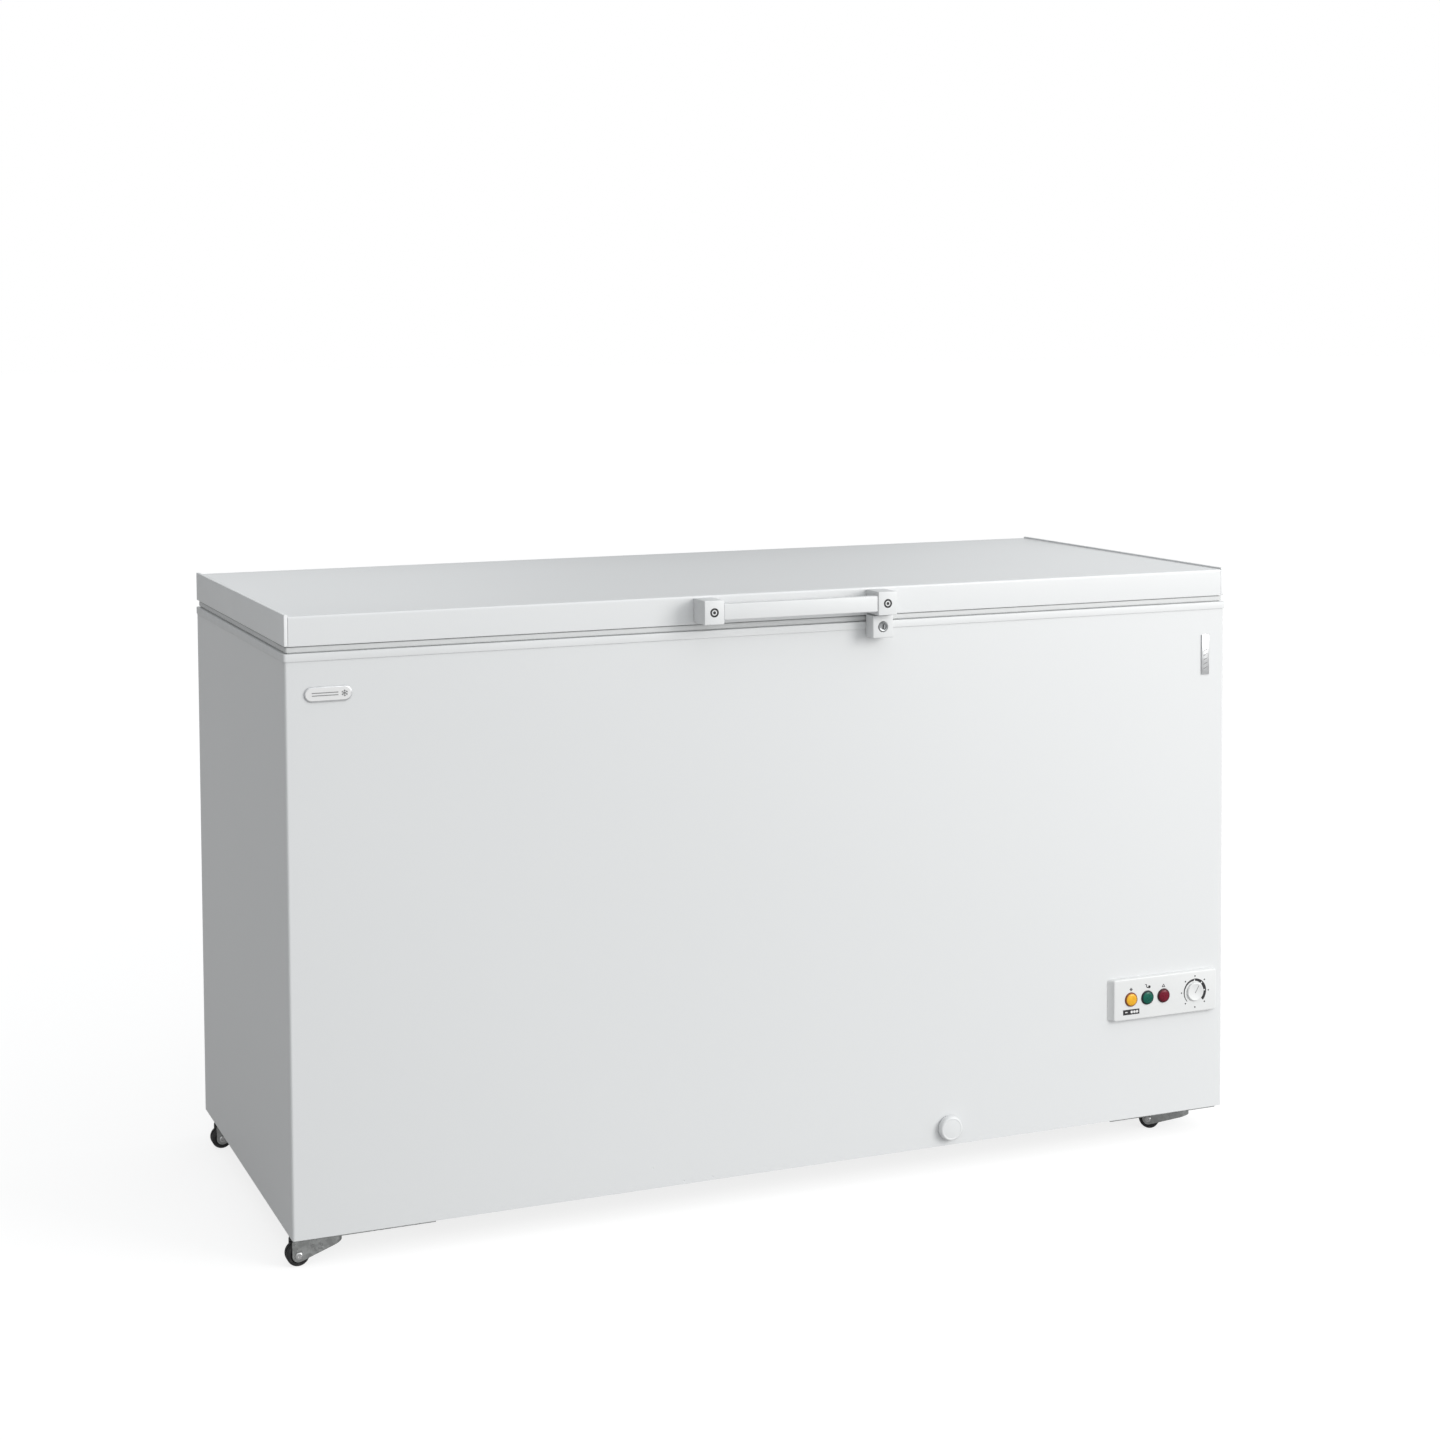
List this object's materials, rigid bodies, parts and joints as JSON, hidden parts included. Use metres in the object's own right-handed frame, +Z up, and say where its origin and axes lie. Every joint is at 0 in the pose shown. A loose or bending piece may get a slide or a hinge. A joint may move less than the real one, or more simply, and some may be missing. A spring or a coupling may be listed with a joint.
{
  "type": "chest freezer",
  "caption": "Long white chest freezer on swivel casters, with a hinged insulated lid, bar handle, key lock, control panel and front drain.",
  "frame": {"origin": "on the floor, under the middle of the whole outline, handle and hinges included", "axes": "+X to the viewer's right along the long side, -Y out of the front with the handle and controls, +Z up"},
  "size_m": [1.41, 0.655, 0.843],
  "materials": {
    "white_steel": "satin",
    "white_plastic": "satin",
    "liner": "satin",
    "gasket": "matte",
    "foam": "matte",
    "zinc": "satin",
    "lock_metal": "polished",
    "black_enamel": "gloss",
    "black_rubber": "matte",
    "black_plastic": "satin",
    "copper": "satin",
    "yellow_lens": "gloss",
    "green_lens": "gloss",
    "red_lens": "gloss",
    "silver_plastic": "satin"
  },
  "bodies": {
    "cabinet": {"cabinet_wrap": "white_steel", "back_panel": "white_steel", "base_pan": "zinc", "inner_liner": "liner", "insulation_foam": "foam", "machine_room_panel": "zinc", "top_collar": "white_plastic", "drain_tube": "white_plastic", "evaporator_coil": "copper", "condenser_coil": "copper", "filter_drier": "copper", "compressor": "black_enamel", "compressor_mount_pad": "black_rubber", "start_relay_box": "black_plastic", "rear_grille": "black_plastic", "cord_gland": "black_plastic", "control_bezel": "white_plastic", "power_lamp": "green_lens", "alarm_lamp": "red_lens", "thermostat_body": "black_plastic", "badge_plate": "white_plastic", "emblem_plate": "silver_plastic", "lock_housing": "white_plastic", "hinge_left_base": "zinc", "hinge_right_base": "zinc", "hinge_left_pin": "zinc", "hinge_right_pin": "zinc", "hinge_left_spring": "zinc", "hinge_right_spring": "zinc", "caster_rail_left": "zinc", "caster_rail_right": "zinc"},
    "lid": {"lid_shell": "white_steel", "lid_end_cap_left": "white_plastic", "lid_end_cap_right": "white_plastic", "lid_inner_panel": "white_plastic", "lid_foam": "foam", "lid_gasket": "gasket", "handle_bar": "white_plastic", "handle_block_left": "white_plastic", "handle_block_right": "white_plastic", "hinge_left_arm": "zinc", "hinge_right_arm": "zinc"},
    "lock_barrel": {"lock_barrel": "lock_metal"},
    "lock_bolt": {"lock_bolt": "zinc"},
    "super_freeze_button": {"super_freeze_button": "yellow_lens"},
    "thermostat_knob": {"thermostat_knob": "white_plastic"},
    "drain_cap": {"drain_cap": "white_plastic"},
    "drain_plug": {"drain_plug": "white_plastic"},
    "caster_front_left": {"caster_front_left_fork": "zinc", "caster_front_left_axle": "zinc"},
    "wheel_front_left": {"caster_front_left_wheel": "black_rubber"},
    "caster_front_right": {"caster_front_right_fork": "zinc", "caster_front_right_axle": "zinc"},
    "wheel_front_right": {"caster_front_right_wheel": "black_rubber"},
    "caster_rear_left": {"caster_rear_left_fork": "zinc", "caster_rear_left_axle": "zinc"},
    "wheel_rear_left": {"caster_rear_left_wheel": "black_rubber"},
    "caster_rear_right": {"caster_rear_right_fork": "zinc", "caster_rear_right_axle": "zinc"},
    "wheel_rear_right": {"caster_rear_right_wheel": "black_rubber"}
  },
  "joints": [
    {"name": "lid_hinge", "type": "hinge", "parent": "cabinet", "child": "lid", "pos_m": [0, 0.3155, 0.783], "axis": [-1, 0, 0], "range_deg": [0, 85], "stiffness_Nm_per_rad": 16, "springref_deg": 84.8},
    {"name": "lock_turn", "type": "hinge", "parent": "cabinet", "child": "lock_barrel", "pos_m": [0.12875, -0.3125, 0.788], "axis": [0, 1, 0], "range_deg": [0, 90]},
    {"name": "lock_bolt_lift", "type": "slide", "parent": "cabinet", "child": "lock_bolt", "axis": [0, 0, 1], "range_m": [0, 0.008]},
    {"name": "button_press", "type": "slide", "parent": "cabinet", "child": "super_freeze_button", "axis": [0, 1, 0], "range_m": [0, 0.002], "stiffness_N_per_m": 400},
    {"name": "knob_turn", "type": "hinge", "parent": "cabinet", "child": "thermostat_knob", "pos_m": [0.648, -0.2955, 0.217], "axis": [0, 1, 0], "range_deg": [-165, 105]},
    {"name": "drain_cap_pull", "type": "slide", "parent": "cabinet", "child": "drain_cap", "axis": [0, -1, 0], "range_m": [0, 0.025]},
    {"name": "drain_plug_lift", "type": "slide", "parent": "cabinet", "child": "drain_plug", "axis": [0, 0, 1], "range_m": [0, 0.03]},
    {"name": "wheel_swivel_front_left", "type": "hinge", "parent": "cabinet", "child": "caster_front_left", "pos_m": [-0.643, -0.2665, 0.035], "axis": [0, 0, 1], "continuous": true},
    {"name": "wheel_roll_front_left", "type": "hinge", "parent": "caster_front_left", "child": "wheel_front_left", "pos_m": [-0.69, -0.2665, 0.015], "axis": [0, -1, 0], "continuous": true},
    {"name": "wheel_swivel_front_right", "type": "hinge", "parent": "cabinet", "child": "caster_front_right", "pos_m": [0.643, -0.2665, 0.035], "axis": [0, 0, 1], "continuous": true},
    {"name": "wheel_roll_front_right", "type": "hinge", "parent": "caster_front_right", "child": "wheel_front_right", "pos_m": [0.61095, -0.23213, 0.015], "axis": [-0.7314, -0.682, 0], "continuous": true},
    {"name": "wheel_swivel_rear_left", "type": "hinge", "parent": "cabinet", "child": "caster_rear_left", "pos_m": [-0.643, 0.2315, 0.035], "axis": [0, 0, 1], "continuous": true},
    {"name": "wheel_roll_rear_left", "type": "hinge", "parent": "caster_rear_left", "child": "wheel_rear_left", "pos_m": [-0.69, 0.2315, 0.015], "axis": [0, -1, 0], "continuous": true},
    {"name": "wheel_swivel_rear_right", "type": "hinge", "parent": "cabinet", "child": "caster_rear_right", "pos_m": [0.643, 0.2315, 0.035], "axis": [0, 0, 1], "continuous": true},
    {"name": "wheel_roll_rear_right", "type": "hinge", "parent": "caster_rear_right", "child": "wheel_rear_right", "pos_m": [0.69, 0.2315, 0.015], "axis": [0, 1, 0], "continuous": true}
  ],
  "couplings": [
    {"joint": "lock_turn", "follows": "lock_bolt_lift", "rad_per_m": 196.3}
  ]
}
